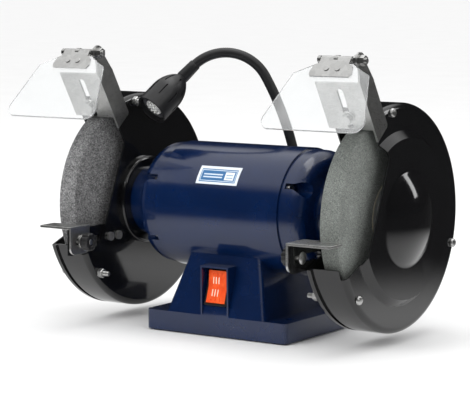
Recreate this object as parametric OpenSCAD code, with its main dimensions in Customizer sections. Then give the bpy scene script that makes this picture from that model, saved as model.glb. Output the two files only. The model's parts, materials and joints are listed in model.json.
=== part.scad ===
// Bench grinder with two 200 mm wheels, spark guards, eye shields, tool rests and a gooseneck lamp.
// X runs along the spindle, -Y is the front, Z is up. The origin is on the bench under the middle.

/* [Base] */
// Width of the base flange along the spindle
base_w = 167; // [150:1:220]
// Depth of the base flange, front to back
base_d = 128; // [110:1:180]
// Height of the flange's top above the bench
base_top = 21; // [16:1:30]
// Wall of the casting
cast_wall = 4; // [3:0.5:6]
// Width of the pedestal at its foot
pedestal_foot_w = 117; // [100:1:140]
// Width of the pedestal under the motor
pedestal_top_w = 84; // [70:1:100]
// Height of the spindle above the bench
spindle_z = 122; // [115:1:150]
// Spacing of the bench bolts along the spindle
bolt_span_x = 140; // [130:1:150]
// Spacing of the bench bolts, front to back
bolt_span_y = 76; // [60:1:90]
// Diameter of the bench bolt holes
bolt_hole_d = 8.5; // [6:0.5:10]
// How far the rubber feet lift the casting
foot_lift = 1.5; // [1:0.5:4]

/* [Motor] */
// Outer radius of the motor shell
shell_r = 62.8; // [60:0.2:75]
// Length of the motor shell
shell_len = 144.6; // [130:0.2:190]
// Thickness of the shell's sheet
shell_t = 2.5; // [1.5:0.1:3]
// Radius of the neck that carries each guard
neck_r = 34; // [30:1:38]
// Distance from the middle to the end of each neck
neck_end = 124.9; // [122:0.1:150]
// Radius of the circle of through bolts
through_bolt_ring = 54; // [50:0.5:54]

/* [Wheels] */
// Diameter of the grinding wheels
wheel_d = 200; // [180:1:200]
// Thickness of the grinding wheels
wheel_w = 20; // [16:1:22]
// Distance from the middle to the inner face of each wheel
wheel_in = 144.5; // [143:0.1:146]
// Diameter of the spindle where the wheels sit
arbor_d = 16; // [12:0.5:18]
// Diameter of the wheel flanges
flange_d = 78; // [60:1:90]

/* [Guards] */
// Outer radius of the guards
guard_r = 110; // [105:1:125]
// Width of each guard along the spindle
guard_w = 43; // [42:0.5:50]
// Distance from the middle to the inner face of each guard
guard_in = 130.5; // [128:0.5:134]
// Thickness of the guard sheet
guard_t = 1.5; // [1:0.1:2]
// Outer radius of the drum's rounded corner
guard_corner = 6; // [4:0.5:8]
// Width of the lid's rim
lid_rim = 6; // [4:0.5:8]
// Gap seen between the lid's rim and the drum's band
lid_gap = 4; // [2:0.5:6]
// Radius of the circle of long guard screws
long_screw_r = 103.6; // [103:0.1:105]
// Angle of the lower edge of the opening, below the front
open_low = 25; // [20:1:30]
// Angle of the upper edge of the opening, above the front
open_high = 60.5; // [55:0.5:62]

/* [Tool rests] */
// Width of the left rest's plate
rest_left_w = 39; // [34:1:44]
// Width of the right rest's plate
rest_right_w = 47; // [40:1:50]
// Depth of each rest's plate
rest_d = 30; // [26:1:34]
// Thickness of the rest's sheet
rest_t = 2.4; // [1.5:0.1:3]
// Gap between a rest and its wheel
rest_gap = 3; // [2:0.5:5]
// Height of the left plate below the spindle
rest_left_drop = 16; // [10:1:20]
// Height of the right plate below the spindle
rest_right_drop = 12; // [10:1:20]

/* [Eye shields] */
// Width of a shield bracket along the spindle
bracket_w = 49; // [46:1:52]
// Length of the bracket's front panel
bracket_len = 51; // [44:1:54]
// Gap between the bracket and its wheel
bracket_gap = 3; // [2:0.5:5]
// Angle of the bracket's panel above the front
bracket_angle = 60; // [58:1:66]
// Width of an eye shield at its lower edge
shield_w = 109; // [90:1:115]
// Length of an eye shield from its hinge
shield_len = 79; // [66:1:84]
// Thickness of an eye shield
shield_t = 2; // [1.5:0.1:3]
// Lean of the eye shields in front of upright
shield_lean = 38; // [30:1:45]

/* [Lamp] */
// Diameter of the gooseneck tube
goose_d = 10; // [8:0.5:12]
// Length of the lamp head
lamp_len = 52; // [46:1:60]
// Diameter of the lamp's face
lamp_d = 34; // [30:1:40]

/* [Hidden] */
$fn = 96;

// Clearances: parts fixed together, parts that turn in each other, parts that pass each other
fixed = 0.02;
running = 0.05;
seat_gap = 0.1;
passing = 0.3;

// Base
base_corner = 5;
pedestal_corner = 4;
saddle_angle = 46;
saddle_lip = 0.6;
pedestal_top_z = spindle_z - shell_r * cos(saddle_angle) + saddle_lip;
pedestal_top_d = 2 * (shell_r * sin(saddle_angle) + saddle_lip);
bench_boss_r = bolt_hole_d / 2 + cast_wall;
bench_pad_r = bolt_hole_d / 2 + 2;
foot_r = 8.4;
foot_seat = 2.5;
foot_x = base_w / 2 - foot_r - 3;
foot_y = base_d / 2 - foot_r - 2;
cover_z = 3.5;
cover_t = 1.2;
cover_w = bolt_span_x - 2 * bench_boss_r - 6;
cover_d = base_d - 2 * cast_wall - 1;
cover_boss_r = 5;
cover_boss_x = 40;
cover_boss_y = base_d / 2 - cast_wall - 4.5;
m4_r = 2;
gland_x = -15;
gland_r = 6;
gland_bore_r = 3.4;
wire_hole_r = 7;

// Switch, on the leaning front of the pedestal
front_lean = atan2((base_d - pedestal_top_d) / 2, pedestal_top_z - base_top);
switch_z = 48.9;
switch_w = 26.4;
switch_h = 38.4;
switch_body_w = 24.4;
switch_body_h = 36.4;
rocker_w = 22;
rocker_h = 32;
rocker_pivot = 3;
rocker_pin_r = 1.5;
rocker_tip = 6;
hood_w = 33;
hood_t = 1.8;
hood_top = 70;

// Motor
shell_half = shell_len / 2;
bore_r = shell_r - shell_t;
spigot_r = bore_r - fixed;
bell_r = shell_r - 1.8;
bell_straight = 11.7;
bell_round = 14.5;
bell_face = shell_half + bell_straight + bell_round;
spigot_len = 10;
bolt_seat = shell_half + 3.7;
m5_r = 2.5;
bolt_angles = [30, 150, 210, 330];
stack_half = 28;
stator_bore_r = 34.6;
air_gap = 0.4;
slots = 24;
bearing_in = 76.2;
bearing_w = 12;
bearing_r = 20;
journal_r = 8.5;
ball_r = 3.37;
ball_ring = 14.25;
balls = 8;
shaft_end = 186;
arbor_r = arbor_d / 2;
inner_flange_w = 5;
blotter_t = 0.4;
outer_flange_w = 4.5;
nut_w = 12.5;
nut_af = 24;
wheel_r = wheel_d / 2;
flange_r = flange_d / 2;
plate_low = 26;
plate_high = 44;
plate_from = -26.4;
plate_len = 48.6;

// Guards
guard_out = guard_in + guard_w;
band_w = guard_w - lid_rim - lid_gap;
lid_corner = 3;
spigot_in_r = guard_r - guard_t - 2.2;
spigot_out_r = spigot_in_r + guard_t;
seat_r = 45;
seat_h = guard_in - neck_end - seat_gap;
plateau_r = 77;
plateau_h = 7;
dome_r = 47;
dome_h = 14;
dome_sphere = (dome_r * dome_r + dome_h * dome_h) / (2 * dome_h);
open_low_r = 82;
open_high_r = 70;
band_step = 5;
long_screw_angles = [79.6, -40.4, 199.6];
long_screw_tail = 12;
mount_ring = 24;
mount_angles = [45, 135, 225, 315];
neck_bore = 14;
tab_w = 24;
tab_top = 124;

// Tool rests
rest_front = wheel_r + 25;
rest_fall = 28;
rest_round = 7;
arm_t = 3.8;
arm_h = 26;
arm_front = wheel_r + 22;
arm_back = 45;
rest_bolt_y = 107;
m6_r = 3;
slot_half = m6_r + 0.3;
arm_slot = [117, 78];
rest_slot = [113, 105];
arm_screw_y = [62, 49];
knob_r = 9;
knob_w = 10;
washer_t = 1.6;

// Eye shields
bracket_t = 2;
bracket_step = 2.6;
panel_z = 1;
panel_low = wheel_r + bracket_gap;
panel_high = panel_low + bracket_len;
flange_deep = 19;
hinge_u = panel_high + 18.5;
hinge_n = 8.4;
ear_r = 7.5;
clamp_u = 116;
clamp_slot = [106.5, 144];
hinge_y = -hinge_u * cos(bracket_angle) + hinge_n * sin(bracket_angle);
hinge_z = spindle_z + hinge_u * sin(bracket_angle) + hinge_n * cos(bracket_angle);
barrel_r = 3.6;
barrel_len = 32;
leaf_t = 1.2;
shield_top_w = 39;
shield_shoulder_w = 81;
shield_round = 10;

// Lamp
lamp_x = 5.6;
lamp_y = 77;
lamp_turn = 215;
lamp_shelf = 133;
lamp_plate_t = 3;
lamp_start = 148.6;
goose_r = goose_d / 2;
goose_bends = [[82, 61.9, 300], [61.9, -45, 46]];
joint_gap = 0.35;
knuckle_r = goose_r + 0.5;

// A point at an angle above the front and a radius, in the plane across the spindle
function at(a, r) = [-r * sin(a), -r * cos(a)];
// Where a bend of radius r ends when the heading turns from t1 to t2
function bend_end(p, t1, t2, r) = p + r * [sin(t1) - sin(t2), cos(t2) - cos(t1)];

// Local z along the spindle from the given place, local x downwards
module on_spindle(x = 0) {
    translate([x, 0, spindle_z]) rotate([0, 90, 0]) children();
}
// Local y outwards along a radius at angle a above the front, local z towards the front
module on_radius(a, x = 0) {
    translate([x, 0, spindle_z]) rotate([180 - a, 0, 0]) children();
}
// Local z out of the pedestal's leaning front, local y up the slope
module on_front() {
    translate([0, -base_d / 2 + (switch_z - base_top) * tan(front_lean), switch_z])
        rotate([90 - front_lean, 0, 0]) children();
}
module both_ends() {
    children();
    mirror([1, 0, 0]) children();
}
module tube(r_out, r_in, h) {
    difference() {
        cylinder(r = r_out, h = h);
        translate([0, 0, -1]) cylinder(r = r_in, h = h + 2);
    }
}
module rounded_rect(w, d, r) {
    square([w - 2 * r, d], center = true);
    square([w, d - 2 * r], center = true);
    for (x = [-1, 1], y = [-1, 1]) translate([x * (w / 2 - r), y * (d / 2 - r)]) circle(r);
}
// A slot between two places along local y
module slot(y1, y2, half) {
    translate([-half, min(y1, y2)]) square([2 * half, abs(y2 - y1)]);
    for (y = [y1, y2]) translate([0, y]) circle(half);
}
// A screw with its head above z = 0 and its shank below
module screw(r, length, head_r, head_h) {
    translate([0, 0, -length]) cylinder(r = r, h = length + eps());
    difference() {
        cylinder(r = head_r, h = head_h);
        for (a = [0, 90]) rotate(a) translate([0, 0, head_h])
            cube([head_r * 1.1, head_r * 0.25, head_h], center = true);
    }
}
function eps() = 0.01;
module nut(af, h, r) {
    difference() {
        cylinder(r = af / 2 / cos(30), h = h, $fn = 6);
        translate([0, 0, -1]) cylinder(r = r, h = h + 2);
    }
}

// ---- Base ----
module pedestal_block(inset, z_low) {
    hull() {
        translate([0, 0, z_low]) linear_extrude(1)
            rounded_rect(pedestal_foot_w - 2 * inset, base_d - 2 * inset, pedestal_corner, $fn = 32);
        translate([0, 0, pedestal_top_z - 1]) linear_extrude(1)
            rounded_rect(pedestal_top_w - 2 * inset, pedestal_top_d - 2 * inset, pedestal_corner,
                $fn = 32);
    }
}
module switch_hood() {
    for (s = [0, 1]) mirror([s, 0, 0])
        translate([hood_w / 2 - hood_t, -base_d / 2, base_top - 1])
            cube([hood_t, 30, hood_top - base_top + 1]);
    translate([-hood_w / 2, -base_d / 2, hood_top - hood_t]) cube([hood_w, 30, hood_t]);
}
module base_bosses() {
    for (x = [-1, 1], y = [-1, 1]) {
        translate([x * bolt_span_x / 2, y * bolt_span_y / 2]) cylinder(r = bench_boss_r, h = base_top - 1);
        translate([x * foot_x, y * foot_y]) cylinder(r = foot_r + 1, h = base_top - 1);
        translate([x * cover_boss_x, y * cover_boss_y, cover_z + cover_t + seat_gap])
            cylinder(r = cover_boss_r, h = base_top - cover_z - cover_t - 2);
    }
}
module base_casting() {
    color("midnightblue") difference() {
        union() {
            translate([0, 0, foot_lift]) linear_extrude(base_top - foot_lift)
                rounded_rect(base_w, base_d, base_corner);
            for (x = [-1, 1], y = [-1, 1])
                translate([x * bolt_span_x / 2, y * bolt_span_y / 2])
                    cylinder(r = bench_pad_r, h = foot_lift + 1);
            pedestal_block(0, base_top - 1);
            switch_hood();
        }
        difference() {
            union() {
                translate([0, 0, -1]) linear_extrude(base_top - cast_wall + 1)
                    rounded_rect(base_w - 2 * cast_wall, base_d - 2 * cast_wall, 2);
                pedestal_block(cast_wall, base_top - cast_wall - 1);
            }
            base_bosses();
            on_spindle(-base_w) cylinder(r = shell_r + cast_wall, h = 2 * base_w);
        }
        on_spindle(-base_w) cylinder(r = shell_r + seat_gap, h = 2 * base_w);
        cylinder(r = wire_hole_r, h = spindle_z);
        for (x = [-1, 1], y = [-1, 1]) {
            translate([x * bolt_span_x / 2, y * bolt_span_y / 2, -1])
                cylinder(d = bolt_hole_d, h = base_top + 2);
            translate([x * foot_x, y * foot_y, -1])
                cylinder(r = foot_r + seat_gap, h = foot_lift + foot_seat + 1);
            translate([x * cover_boss_x, y * cover_boss_y, 0]) cylinder(r = m4_r + fixed, h = base_top - 6);
        }
        translate([gland_x, base_d / 2 - 10, base_top / 2]) rotate([-90, 0, 0])
            cylinder(r = gland_r + fixed, h = 20);
        on_front() translate([0, 0, -9]) linear_extrude(10)
            square([switch_body_w + 2 * seat_gap, switch_body_h + 2 * seat_gap], center = true);
    }
}
module bottom_cover() {
    color("gray") translate([0, 0, cover_z]) linear_extrude(cover_t) difference() {
        rounded_rect(cover_w, cover_d, 4);
        for (x = [-1, 1], y = [-1, 1])
            translate([x * cover_boss_x, y * cover_boss_y]) circle(m4_r + seat_gap);
        for (x = [-2 : 2]) translate([x * 16, -22]) slot(-12, 12, 1.5);
        translate([gland_x, base_d / 2]) square([2 * gland_r + 6, 2 * cast_wall + 8], center = true);
    }
}
module bottom_cover_screws() {
    color("silver") for (x = [-1, 1], y = [-1, 1])
        translate([x * cover_boss_x, y * cover_boss_y, cover_z - eps()]) rotate([180, 0, 0])
            screw(m4_r, 9, 3.8, 1.8);
}
module rubber_feet() {
    color("black") for (x = [-1, 1], y = [-1, 1])
        translate([x * foot_x, y * foot_y]) tube(foot_r, 1.5, foot_lift + foot_seat - seat_gap);
}
module cord_gland() {
    color("black") translate([gland_x, base_d / 2, base_top / 2]) rotate([-90, 0, 0])
        difference() {
            union() {
                translate([0, 0, -cast_wall - 3]) cylinder(r = gland_r, h = cast_wall + 4);
                translate([0, 0, seat_gap]) cylinder(r = gland_r + 2.5, h = 3);
                translate([0, 0, 3]) cylinder(r1 = gland_r + 1.5, r2 = gland_r, h = 6);
                translate([0, 0, -cast_wall - 3]) cylinder(r = gland_r + 2, h = 3 - seat_gap, $fn = 6);
            }
            translate([0, 0, -20]) cylinder(r = gland_bore_r, h = 40);
        }
}

// ---- Switch ----
module switch_frame() {
    color("black") on_front() {
        difference() {
            union() {
                translate([0, 0, seat_gap]) linear_extrude(2.5) rounded_rect(switch_w, switch_h, 1.5);
                translate([0, 0, -20]) linear_extrude(20.5)
                    square([switch_body_w, switch_body_h], center = true);
            }
            translate([0, 0, -12]) linear_extrude(20)
                square([rocker_w + 2 * passing, rocker_h + 6 * passing + 1], center = true);
            translate([-20, 0, -rocker_pivot]) rotate([0, 90, 0])
                cylinder(r = rocker_pin_r + running, h = 40);
        }
        for (x = [-6, 6], y = [-10, 10]) translate([x, y, -24]) cube([0.8, 6, 9], center = true);
    }
}
module switch_rocker() {
    color("orangered") on_front() translate([0, 0, -rocker_pivot]) rotate([rocker_tip, 0, 0]) {
        difference() {
            translate([-rocker_w / 2, 0, 0]) rotate([90, 0, 90]) linear_extrude(rocker_w)
                polygon([[-rocker_h / 2, -1], [rocker_h / 2, -1], [rocker_h / 2, rocker_pivot + 4.6],
                    [0, rocker_pivot + 2.6], [-rocker_h / 2, rocker_pivot + 4.6]]);
            for (y = [-1, 1], x = [-1 : 1]) translate([x * 5, y * 9, rocker_pivot + 5])
                cube([1.6, 9, 3], center = true);
        }
        translate([-switch_body_w / 2, 0, 0]) rotate([0, 90, 0])
            cylinder(r = rocker_pin_r, h = switch_body_w);
        translate([-4, -4, -5]) cube([8, 8, 5]);
    }
}
module run_capacitor() {
    color("lightgray") translate([-26, 24, cover_z + cover_t + 15 + seat_gap]) rotate([0, 90, 0]) {
        cylinder(r = 15, h = 48);
        for (y = [-5, 5]) translate([-0.4, y - 3, 48 - eps()]) cube([0.8, 6, 8]);
    }
}
module terminal_block() {
    color("white") translate([-50, -12, cover_z + cover_t + seat_gap]) difference() {
        cube([16, 34, 12]);
        for (i = [0 : 3]) {
            translate([8, 5 + i * 8, 4]) cylinder(r = 2, h = 10);
            translate([-1, 5 + i * 8, 5]) rotate([0, 90, 0]) cylinder(r = 1.6, h = 18);
        }
    }
}

// ---- Motor ----
module motor_shell() {
    color("midnightblue") difference() {
        on_spindle(-shell_half) tube(shell_r, bore_r, shell_len);
        cylinder(r = wire_hole_r, h = spindle_z);
        lamp_screw_places() cylinder(r = m5_r + seat_gap, h = 20, center = true);
    }
}
module bell_outline() {
    square([spigot_r, shell_half]);
    translate([0, shell_half]) square([bell_r, bell_straight]);
    square([bell_r - bell_round, bell_face]);
    translate([bell_r - bell_round, shell_half + bell_straight]) circle(bell_round);
    square([neck_r, neck_end]);
    translate([0, bell_face - eps()]) difference() {
        square([neck_r + 6, 6]);
        translate([neck_r + 6, 6]) circle(6);
    }
}
module bell_hollow() {
    wall_r = bell_r - shell_t - 1;
    square([wall_r, bearing_in - 4]);
    translate([bearing_r + 5, 0]) square([wall_r - bearing_r - 5, shell_half + bell_straight - 4]);
    translate([bearing_r + 5, 0]) square([wall_r - bell_round - bearing_r - 5, bell_face - 4]);
    square([bearing_r + fixed, bearing_in + bearing_w + seat_gap]);
    square([journal_r + 2, neck_end + 1]);
    translate([0, bearing_in + bearing_w + 8]) square([neck_bore, 60]);
}
module end_bell() {
    difference() {
        on_spindle() union() {
            rotate_extrude() difference() {
                intersection() {
                    bell_outline();
                    translate([0, shell_half - spigot_len]) square([200, 200]);
                }
                bell_hollow();
            }
            intersection() {
                rotate_extrude() bell_outline();
                for (a = bolt_angles) translate(at(a, through_bolt_ring - 2))
                    translate([0, 0, shell_half - spigot_len]) cylinder(r = 9, h = 16);
            }
        }
        on_spindle() {
            for (a = bolt_angles) translate(at(a, through_bolt_ring)) {
                cylinder(r = m5_r + seat_gap, h = 200);
                translate([0, 0, bolt_seat]) cylinder(r = 7.5, h = 100);
            }
            for (a = mount_angles) translate(at(a, mount_ring))
                translate([0, 0, neck_end - 16]) cylinder(r = m5_r + fixed, h = 30);
        }
    }
}
module end_bell_right() { color("midnightblue") end_bell(); }
module end_bell_left() { color("midnightblue") mirror([1, 0, 0]) end_bell(); }
module through_bolts() {
    color("silver") on_spindle(bolt_seat + seat_gap) for (a = bolt_angles)
        translate(at(a, through_bolt_ring)) screw(m5_r, 2 * bolt_seat + 6, 4.6, 3.6);
}
module through_bolt_nuts() {
    color("silver") on_spindle(-bolt_seat - 4.2) for (a = bolt_angles)
        translate(at(a, through_bolt_ring)) nut(8, 4, m5_r + fixed);
}
module stator_core() {
    color("dimgray") on_spindle(-stack_half) linear_extrude(2 * stack_half) difference() {
        circle(bore_r - fixed);
        circle(stator_bore_r);
        for (i = [0 : slots - 1]) rotate(i * 360 / slots)
            translate([stator_bore_r + 5, 0]) square([11, 4.6], center = true);
        for (i = [0 : slots - 1]) rotate(i * 360 / slots)
            translate([stator_bore_r, 0]) square([4, 1.8], center = true);
        for (a = bolt_angles) translate(at(a, through_bolt_ring)) circle(m5_r + 0.25);
    }
}
module stator_windings() {
    color("peru") on_spindle() {
        for (s = [0, 1]) mirror([0, 0, s]) rotate_extrude() translate([stator_bore_r + 7, stack_half + 7])
            rounded_rect(11, 13.6, 4);
        for (i = [0 : slots - 1]) rotate(i * 360 / slots)
            translate([stator_bore_r + 6, 0]) cube([7, 4, 2 * stack_half + 4], center = true);
    }
}
module bearing_outer_rings() {
    color("silver") both_ends() on_spindle(bearing_in) rotate_extrude() difference() {
        translate([ball_ring + 2.2, 0]) square([bearing_r - ball_ring - 2.2, bearing_w]);
        translate([ball_ring, bearing_w / 2]) circle(ball_r + running);
    }
}
module bearing_balls() {
    color("gainsboro") both_ends() on_spindle(bearing_in + bearing_w / 2)
        for (i = [0 : balls - 1]) rotate(i * 360 / balls) translate([ball_ring, 0, 0]) sphere(ball_r);
}
module bearing_inner_rings() {
    color("silver") both_ends() on_spindle(bearing_in) rotate_extrude() difference() {
        translate([journal_r + fixed, 0]) square([ball_ring - 2.2 - journal_r - fixed, bearing_w]);
        translate([ball_ring, bearing_w / 2]) circle(ball_r + running);
    }
}
module shaft() {
    color("lightgray") both_ends() on_spindle() rotate_extrude() polygon([[0, 0], [11, 0],
        [11, stack_half + 12], [10, stack_half + 12], [10, bearing_in - fixed], [journal_r, bearing_in],
        [journal_r, wheel_in - blotter_t - inner_flange_w], [arbor_r, wheel_in - blotter_t - inner_flange_w],
        [arbor_r, shaft_end - 1], [arbor_r - 1, shaft_end], [0, shaft_end]]);
}
module rotor_core() {
    color("gray") on_spindle(-stack_half) tube(stator_bore_r - air_gap, 11 + fixed, 2 * stack_half);
}
module rotor_end_rings() {
    color("lightgray") both_ends() on_spindle(stack_half + fixed)
        tube(stator_bore_r - air_gap - 1.5, 20, 8);
}
module name_plate() {
    color("white") on_spindle(plate_from) rotate([0, 0, 270 - plate_high])
        rotate_extrude(angle = plate_high - plate_low)
            translate([shell_r + fixed, 0]) square([0.6, plate_len]);
}

// ---- Wheels and what clamps them ----
module wheel() { on_spindle(wheel_in) tube(wheel_r, arbor_r + fixed, wheel_w); }
module wheel_right() { color("darkgray") wheel(); }
module wheel_left() { color("dimgray") mirror([1, 0, 0]) wheel(); }
module blotters() {
    color("beige") both_ends() {
        on_spindle(wheel_in - blotter_t) tube(flange_r, arbor_r + fixed, blotter_t);
        on_spindle(wheel_in + wheel_w) tube(flange_r, arbor_r + fixed, blotter_t);
    }
}
module inner_flanges() {
    color("silver") both_ends() on_spindle(wheel_in - blotter_t - inner_flange_w) difference() {
        tube(flange_r, arbor_r + fixed, inner_flange_w);
        translate([0, 0, inner_flange_w - 1]) tube(flange_r - 9, 14, 2);
    }
}
module outer_flanges() {
    color("silver") both_ends() on_spindle(wheel_in + wheel_w + blotter_t) difference() {
        tube(flange_r, arbor_r + fixed, outer_flange_w);
        translate([0, 0, -1]) tube(flange_r - 9, 14, 2);
    }
}
module spindle_nuts() {
    color("silver") both_ends() on_spindle(wheel_in + wheel_w + blotter_t + outer_flange_w + fixed)
        nut(nut_af, nut_w, arbor_r + fixed);
}

// ---- Guards: sheet shells open at the front, their outlines drawn as radius and height ----
module round_slab(r, top, c) {
    translate([0, -guard_w]) square([r - c, guard_w + top]);
    translate([0, -guard_w]) square([r, guard_w + top - c]);
    translate([r - c, top - c]) circle(c);
}
// Raised middle that the neck seats on, s inside its outer surface
module seat_outline(s) { round_slab(seat_r - s, seat_h - s, 3 - s); }
// Raised middle over the spindle nut: a sloped plateau with a dome on it
module dome_outline(s) {
    slope = plateau_r + plateau_h - 0.41 * s;
    polygon([[0, -1 - s], [slope + 1, -1 - s], [plateau_r - 0.41 * s, plateau_h - s], [0, plateau_h - s]]);
    intersection() {
        translate([0, plateau_h + dome_h - dome_sphere]) circle(dome_sphere - s);
        translate([0, plateau_h - s - 0.5]) square([dome_r + 10, dome_h + 10]);
    }
}
// What the front opening takes out, from the low angle given
module opening(low) {
    polygon([at(-low, open_low_r), at(-low, 2 * guard_r), at(open_high, 2 * guard_r),
        at(open_high, open_high_r)]);
}
module guard_holes(seated) {
    for (a = long_screw_angles) translate(at(a, long_screw_r))
        cylinder(r = m5_r + seat_gap, h = 4 * guard_w, center = true);
    if (seated) {
        for (a = mount_angles) translate(at(a, mount_ring))
            cylinder(r = m5_r + seat_gap, h = guard_w, center = true);
        cylinder(r = neck_bore, h = guard_w, center = true);
    }
}
// The drum, with its face at z = 0 looking along +z and its band behind
module drum(seated) {
    difference() {
        rotate_extrude() difference() {
            intersection() {
                union() {
                    round_slab(guard_r, 0, guard_corner);
                    if (seated) seat_outline(0); else dome_outline(0);
                }
                translate([0, -band_w]) square([2 * guard_r, guard_w + band_w]);
            }
            round_slab(guard_r - guard_t, -guard_t, guard_corner - guard_t);
            if (seated) seat_outline(guard_t); else dome_outline(guard_t);
        }
        translate([0, 0, -guard_corner]) linear_extrude(2 * guard_w) opening(open_low);
        translate([0, 0, -band_w - 1]) linear_extrude(band_w + 1 - guard_corner + eps())
            opening(open_low - band_step);
        guard_holes(seated);
    }
}
// The lid, with its face at z = 0 looking along +z, its rim and a spigot that enters the band
module lid(seated) {
    difference() {
        rotate_extrude() difference() {
            union() {
                intersection() {
                    union() {
                        round_slab(guard_r, 0, lid_corner);
                        if (seated) seat_outline(0); else dome_outline(0);
                    }
                    translate([0, -lid_rim]) square([2 * guard_r, 3 * guard_w]);
                }
                translate([0, -lid_rim - lid_gap - 6]) square([spigot_out_r, lid_rim + lid_gap + 5]);
            }
            round_slab(guard_r - guard_t, -guard_t, lid_corner - guard_t + eps());
            if (seated) seat_outline(guard_t); else dome_outline(guard_t);
        }
        translate([0, 0, -guard_w]) linear_extrude(2 * guard_w) opening(open_low - band_step + 1);
        guard_holes(seated);
    }
}
// Stud-welded ring that ties the lid's rim to its spigot
module lid_ring() {
    difference() {
        translate([0, 0, -lid_rim - lid_gap - 6]) union() {
            tube(spigot_out_r, spigot_in_r, lid_rim + lid_gap + 6 - guard_t + eps());
            translate([0, 0, lid_gap + 6]) tube(guard_r - guard_t + eps(), spigot_in_r, guard_t);
        }
        translate([0, 0, -guard_w]) linear_extrude(2 * guard_w) opening(open_low - band_step + 1);
        guard_holes(false);
    }
}
module bracket_tab() {
    translate([-tab_w / 2, guard_r - guard_t + 0.1, -1.6]) difference() {
        cube([tab_w, tab_top - guard_r + guard_t, 2.2]);
        translate([tab_w / 2, clamp_u - guard_r + guard_t - 0.1, -1]) cylinder(r = m6_r + seat_gap, h = 5);
    }
}
function bracket_mid(face) = face + bracket_step - bracket_w / 2;
module guard_right_drum() {
    color([0.08, 0.08, 0.09]) {
        on_spindle(guard_out) drum(false);
        on_radius(bracket_angle, bracket_mid(guard_out)) bracket_tab();
    }
}
module guard_right_lid() {
    color([0.08, 0.08, 0.09]) difference() {
        translate([2 * guard_in, 0, 0]) mirror([1, 0, 0]) on_spindle(guard_in) {
            lid(true);
            lid_ring();
        }
        arm_screw_holes(guard_in, rest_right_drop);
    }
}
module guard_left_drum() {
    color([0.08, 0.08, 0.09]) difference() {
        union() {
            on_spindle(-guard_in) drum(true);
            on_radius(bracket_angle, bracket_mid(-guard_in)) bracket_tab();
        }
        arm_screw_holes(-guard_in, rest_left_drop);
    }
}
module guard_left_lid() {
    color([0.08, 0.08, 0.09]) translate([-2 * guard_out, 0, 0]) mirror([1, 0, 0])
        on_spindle(-guard_out) { lid(false); lid_ring(); }
}
module guard_long_screws() {
    color("silver") {
        on_spindle(guard_out + fixed) for (a = long_screw_angles) translate(at(a, long_screw_r))
            screw(m5_r, guard_w + long_screw_tail, 4.4, 3.4);
        mirror([1, 0, 0]) on_spindle(guard_out + fixed) for (a = long_screw_angles)
            translate(at(a, long_screw_r)) screw(m5_r, guard_w + long_screw_tail, 4.4, 3.4);
    }
}
module guard_long_nuts() {
    color("silver") both_ends() on_spindle(guard_in - 5 - fixed)
        for (a = long_screw_angles) translate(at(a, long_screw_r)) nut(8.5, 5, m5_r + fixed);
}
module guard_mount_screws() {
    color("silver") both_ends() on_spindle(guard_in - seat_h + guard_t + fixed)
        for (a = mount_angles) translate(at(a, mount_ring)) screw(m5_r, 14, 4.4, 3);
}

// ---- Tool rests: an arm on each guard, a sliding plate with a clamp bolt and a knob ----
function arm_top(drop) = spindle_z - drop - rest_t - passing;
function arm_mid(drop) = arm_top(drop) - arm_h / 2;
module arm_screw_holes(x, drop) {
    for (y = arm_screw_y) translate([x, -y, arm_mid(drop)]) rotate([0, 90, 0])
        cylinder(r = m5_r + seat_gap, h = 20, center = true);
}
// An arm whose guard side is at the given place, lying towards -X
module rest_arm(x, drop) {
    difference() {
        translate([x - arm_t, -arm_front, arm_top(drop) - arm_h])
            cube([arm_t, arm_front - arm_back, arm_h]);
        translate([x, 0, arm_mid(drop)]) rotate([0, -90, 0]) rotate([0, 0, 180])
            translate([0, 0, -1]) linear_extrude(arm_t + 2) slot(arm_slot[0], arm_slot[1], slot_half);
        arm_screw_holes(x, drop);
    }
}
arm_right_x = guard_in - seat_gap;
arm_left_x = -guard_in - guard_t - seat_gap;
module rest_arm_right() { color([0.1, 0.1, 0.11]) rest_arm(arm_right_x, rest_right_drop); }
module rest_arm_left() { color([0.1, 0.1, 0.11]) rest_arm(arm_left_x, rest_left_drop); }
// The outside of the arm's motor face, where each rest's flange slides
flange_right_x = arm_right_x - arm_t - passing;
flange_left_x = arm_left_x + passing;
// A rest seen from the motor: its flange lies from x towards the motor, which is at -X here
module tool_rest(x, width, drop) {
    z = spindle_z - drop;
    difference() {
        union() {
            translate([x, 0, z - rest_fall]) rotate([0, -90, 0]) linear_extrude(rest_t) {
                translate([rest_round, -rest_front]) square([rest_fall - rest_round, rest_d]);
                translate([0, rest_round - rest_front]) square([rest_round, rest_d - 2 * rest_round]);
                for (y = [rest_round - rest_front, rest_d - rest_front - rest_round])
                    translate([rest_round, y]) circle(rest_round);
            }
            translate([x - rest_t, -rest_front, z - rest_t]) cube([width, rest_d, rest_t]);
        }
        translate([wheel_in - 3, -rest_front + 25 - rest_gap, z - rest_t - 1]) cube([80, 30, rest_t + 2]);
        translate([x + 1, 0, arm_mid(drop)]) rotate([0, -90, 0]) rotate([0, 0, 180])
            linear_extrude(rest_t + 2) slot(rest_slot[0], rest_slot[1], slot_half);
    }
}
module tool_rest_right() {
    color("gainsboro") tool_rest(flange_right_x, rest_right_w, rest_right_drop);
}
module tool_rest_left() {
    color("gainsboro") mirror([1, 0, 0]) tool_rest(-flange_left_x, rest_left_w, rest_left_drop);
}
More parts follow.
